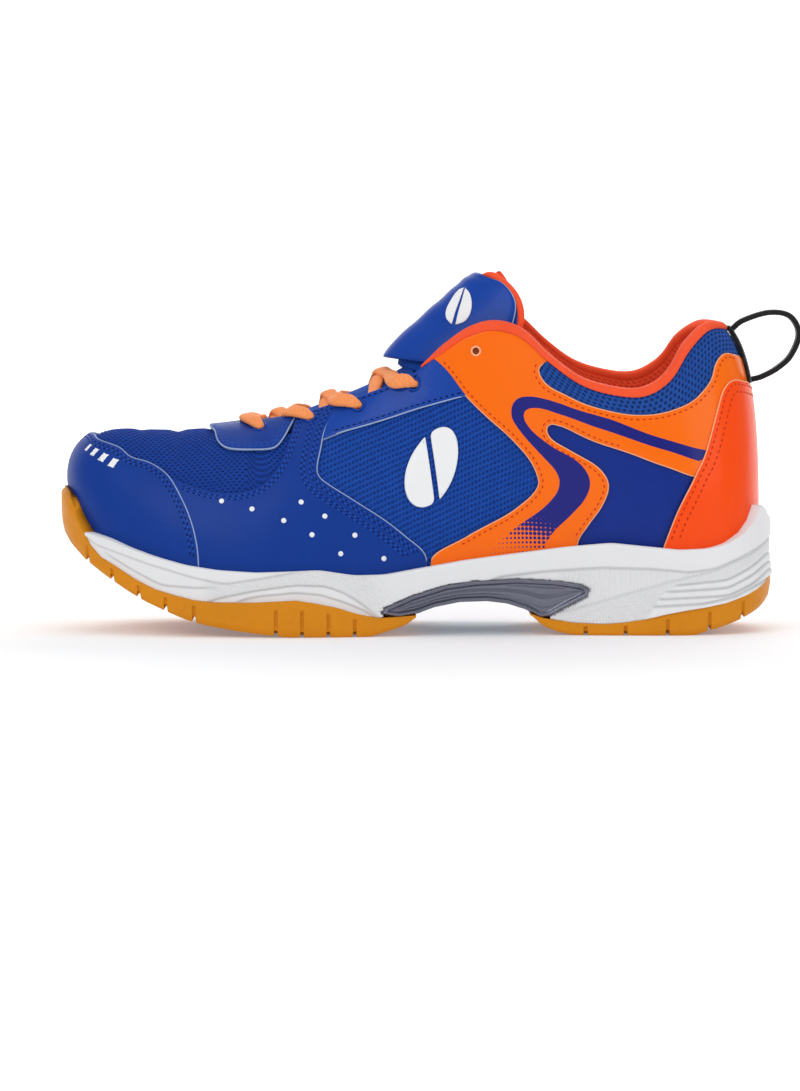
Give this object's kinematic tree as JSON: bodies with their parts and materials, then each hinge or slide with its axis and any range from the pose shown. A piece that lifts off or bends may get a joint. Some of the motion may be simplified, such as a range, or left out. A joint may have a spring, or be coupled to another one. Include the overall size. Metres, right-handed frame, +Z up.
{
  "type": "court shoe",
  "caption": "Low-cut left indoor court shoe: layered mesh and synthetic upper, flat lace, padded collar and tongue, foam midsole and gum rubber outsole.",
  "frame": {"origin": "bottom centre of the shoe's bounding box, on the ground", "axes": "+Z up, -X towards the toe, +X towards the heel, -Y towards the outer (lateral) side"},
  "size_m": [0.3029, 0.1017, 0.1479],
  "materials": {
    "gum_rubber": "satin translucent amber rubber",
    "midsole_foam": "matte moulded foam with fine texture",
    "shank_plastic": "dark satin moulded plastic",
    "board_fibre": "matt fibre board",
    "insole_cloth": "brushed cloth over foam",
    "stiffener": "matt thermoplastic sheet",
    "lining_coral": "fine coral lining cloth",
    "collar_padding": "open foam",
    "edge_binding": "smooth coral binding",
    "mesh_blue": "open blue air mesh",
    "knit_blue": "fine blue knit",
    "leather_blue": "satin blue synthetic leather",
    "overlay_orange": "glossy orange coated synthetic with dark blue print",
    "emblem_white": "satin white film",
    "lace_orange": "flat woven orange lace",
    "lace_tip": "clear film",
    "webbing_black": "black woven webbing"
  },
  "bodies": {
    "shoe": {"outsole_forefoot": "gum_rubber", "outsole_heel": "gum_rubber", "midsole": "midsole_foam", "arch_shank": "shank_plastic", "lasting_board": "board_fibre", "toe_puff": "stiffener", "heel_counter": "stiffener", "vamp_lining": "lining_coral", "quarter_lining": "lining_coral", "collar_foam": "collar_padding", "collar_roll": "edge_binding", "vamp_mesh": "mesh_blue", "quarter_mesh_lateral": "knit_blue", "quarter_mesh_medial": "knit_blue", "rear_panel_lateral": "leather_blue", "rear_panel_medial": "leather_blue", "collar_mesh": "mesh_blue", "toe_cap": "leather_blue", "forefoot_overlay_lateral": "leather_blue", "forefoot_overlay_medial": "leather_blue", "throat_overlay": "leather_blue", "eyestay_lateral": "leather_blue", "eyestay_medial": "leather_blue", "side_overlay_lateral": "overlay_orange", "side_overlay_medial": "overlay_orange", "ankle_band_lateral": "overlay_orange", "ankle_band_medial": "overlay_orange", "heel_cover": "overlay_orange", "side_emblem_lateral": "emblem_white", "side_emblem_medial": "emblem_white", "tongue": "knit_blue", "tongue_lining": "lining_coral", "lace": "lace_orange", "lace_tips": "lace_tip", "heel_loop_anchor": "webbing_black"},
    "tongue_flap": {"tongue_top": "knit_blue", "tongue_top_lining": "lining_coral", "tongue_pad": "leather_blue"},
    "sock_liner": {"insole": "insole_cloth"},
    "pull_loop": {"heel_loop": "webbing_black"}
  },
  "joints": [
    {"name": "tongue_flex", "type": "hinge", "parent": "shoe", "child": "tongue_flap", "pos_m": [-0.007, -0.003, 0.104], "axis": [0, 1, 0], "range_deg": [-13, 8], "stiffness_Nm_per_rad": 0.15},
    {"name": "sock_liner_lift", "type": "hinge", "parent": "shoe", "child": "sock_liner", "pos_m": [-0.1385, 0, 0.0395], "axis": [0, -1, 0], "range_deg": [0, 6]},
    {"name": "heel_loop_swing", "type": "hinge", "parent": "shoe", "child": "pull_loop", "pos_m": [0.13161, 0.00085, 0.11005], "axis": [-0.4343, -0.0065, 0.9007], "range_deg": [-45, 45], "stiffness_Nm_per_rad": 0.002}
  ]
}
